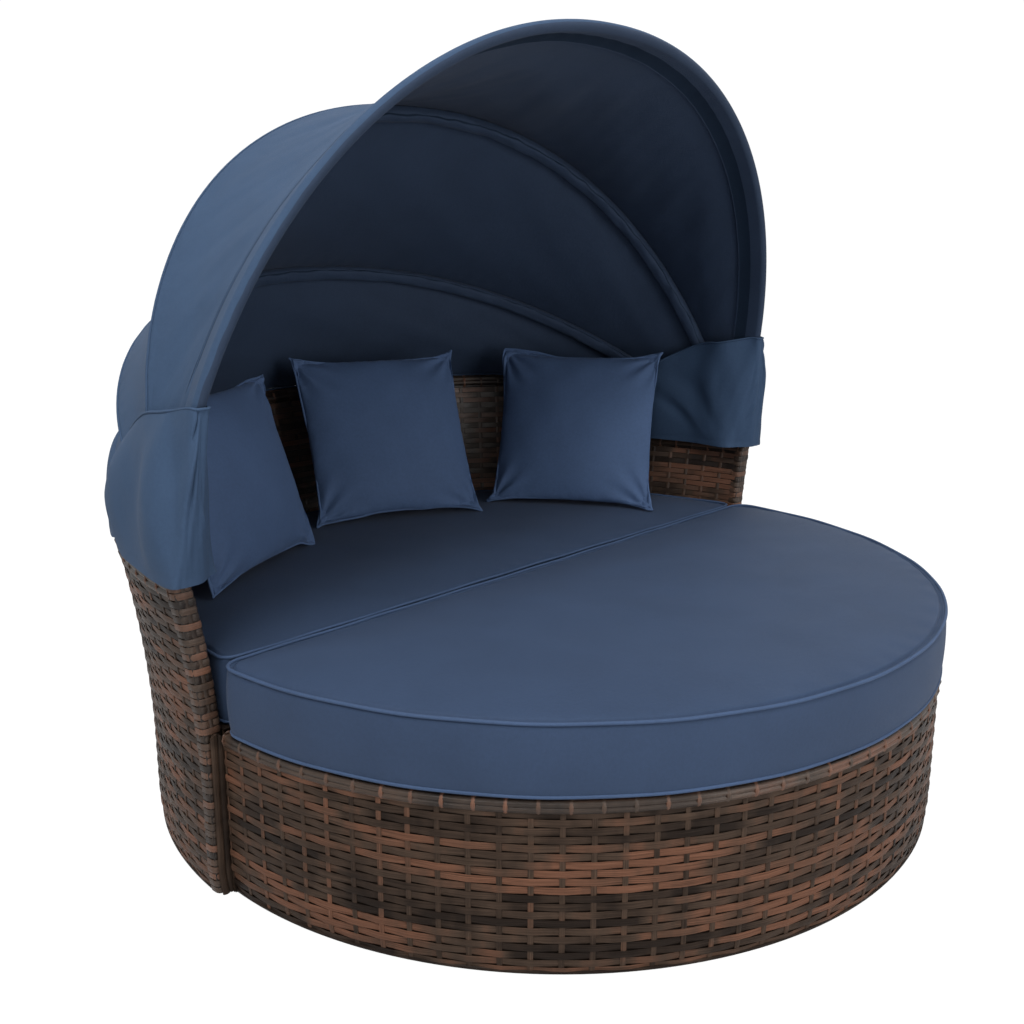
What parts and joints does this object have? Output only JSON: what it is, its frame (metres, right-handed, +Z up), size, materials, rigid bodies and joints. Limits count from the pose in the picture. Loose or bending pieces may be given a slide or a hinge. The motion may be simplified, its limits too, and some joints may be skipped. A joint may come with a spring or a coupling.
{
  "type": "outdoor daybed with canopy",
  "caption": "Round wicker daybed in two halves, a curved-back sofa and a matching half-round ottoman, with boxed cushions, throw pillows and a folding fan canopy on hoops.",
  "frame": {"origin": "on the floor, under the centre of the part's bounding box", "axes": "+X to the right of someone who faces the front, +Y from the ottoman towards the sofa's back, +Z up"},
  "size_m": [1.6404, 1.6002, 1.4035],
  "materials": {
    "wicker": "woven resin strands in mixed dark browns, satin",
    "frame": "dark brown powder coat",
    "hoop": "dark brown powder coat",
    "hardware": "zinc plated",
    "glide": "moulded, matt",
    "deck": "sealed panel",
    "cushion_fabric": "navy polyester cloth with piped seams",
    "canopy_fabric": "navy polyester cloth, soft sheen"
  },
  "bodies": {
    "sofa": {"sofa_floor_rail_arc": "frame", "sofa_floor_rail_front": "frame", "sofa_seat_rail_arc": "frame", "sofa_seat_rail_front": "frame", "sofa_top_rail": "frame", "sofa_top_roll": "wicker", "sofa_end_post_left": "frame", "sofa_end_post_right": "frame", "sofa_back_post_right": "frame", "sofa_back_post_middle": "frame", "sofa_back_post_left": "frame", "sofa_seat_slat": "frame", "sofa_outer_weave": "wicker", "sofa_inner_weave": "wicker", "sofa_end_binding_left": "wicker", "sofa_end_binding_right": "wicker", "sofa_front_weave": "wicker", "sofa_seat_deck": "deck", "sofa_front_glide_left": "glide", "sofa_front_glide_right": "glide", "sofa_back_glide_left": "glide", "sofa_back_glide_right": "glide", "sofa_seat_cushion": "cushion_fabric", "throw_pillow_left": "cushion_fabric", "throw_pillow_middle": "cushion_fabric", "throw_pillow_right": "cushion_fabric", "canopy_bracket_left": "hoop", "canopy_bracket_right": "hoop", "canopy_pivot_bolt_left": "hardware", "canopy_pivot_bolt_right": "hardware", "canopy_pivot_nut_left": "hardware", "canopy_pivot_nut_right": "hardware", "canopy_panel_rear": "canopy_fabric", "canopy_valance": "canopy_fabric", "canopy_skirt_left": "canopy_fabric", "canopy_skirt_right": "canopy_fabric"},
    "ottoman": {"ottoman_floor_rail_arc": "frame", "ottoman_floor_rail_back": "frame", "ottoman_seat_rail_back": "frame", "ottoman_rim_rail": "frame", "ottoman_rim_roll": "wicker", "ottoman_post_left": "frame", "ottoman_post_right": "frame", "ottoman_post_front": "frame", "ottoman_seat_slat": "frame", "ottoman_base_weave": "wicker", "ottoman_back_weave": "wicker", "ottoman_seat_deck": "deck", "ottoman_back_glide_left": "glide", "ottoman_back_glide_right": "glide", "ottoman_front_glide_left": "glide", "ottoman_front_glide_right": "glide", "ottoman_seat_cushion": "cushion_fabric"},
    "rear_hoop": {"canopy_hoop_rear": "hoop", "canopy_sleeve_rear": "canopy_fabric", "canopy_panel_middle": "canopy_fabric"},
    "middle_hoop": {"canopy_hoop_middle": "hoop", "canopy_sleeve_middle": "canopy_fabric", "canopy_panel_front": "canopy_fabric"},
    "front_hoop": {"canopy_hoop_front": "hoop"}
  },
  "joints": [
    {"name": "ottoman_slide", "type": "slide", "parent": "sofa", "child": "ottoman", "axis": [0, -1, 0], "range_m": [0, 0.6]},
    {"name": "canopy_rear_fold", "type": "hinge", "parent": "sofa", "child": "rear_hoop", "pos_m": [0, 0.02693, 0.565], "axis": [-1, 0, 0], "range_deg": [0, 8], "deforming": ["canopy_panel_rear"]},
    {"name": "canopy_middle_fold", "type": "hinge", "parent": "rear_hoop", "child": "middle_hoop", "pos_m": [0, 0.02693, 0.565], "axis": [-1, 0, 0], "range_deg": [0, 27], "deforming": ["canopy_panel_middle"]},
    {"name": "canopy_fold", "type": "hinge", "parent": "middle_hoop", "child": "front_hoop", "pos_m": [0, 0.02693, 0.565], "axis": [-1, 0, 0], "range_deg": [0, 30], "deforming": ["canopy_panel_front", "canopy_skirt_left", "canopy_skirt_right"]}
  ],
  "couplings": [
    {"joint": "canopy_middle_fold", "follows": "canopy_fold", "ratio": 0.899},
    {"joint": "canopy_rear_fold", "follows": "canopy_fold", "ratio": 0.266}
  ]
}
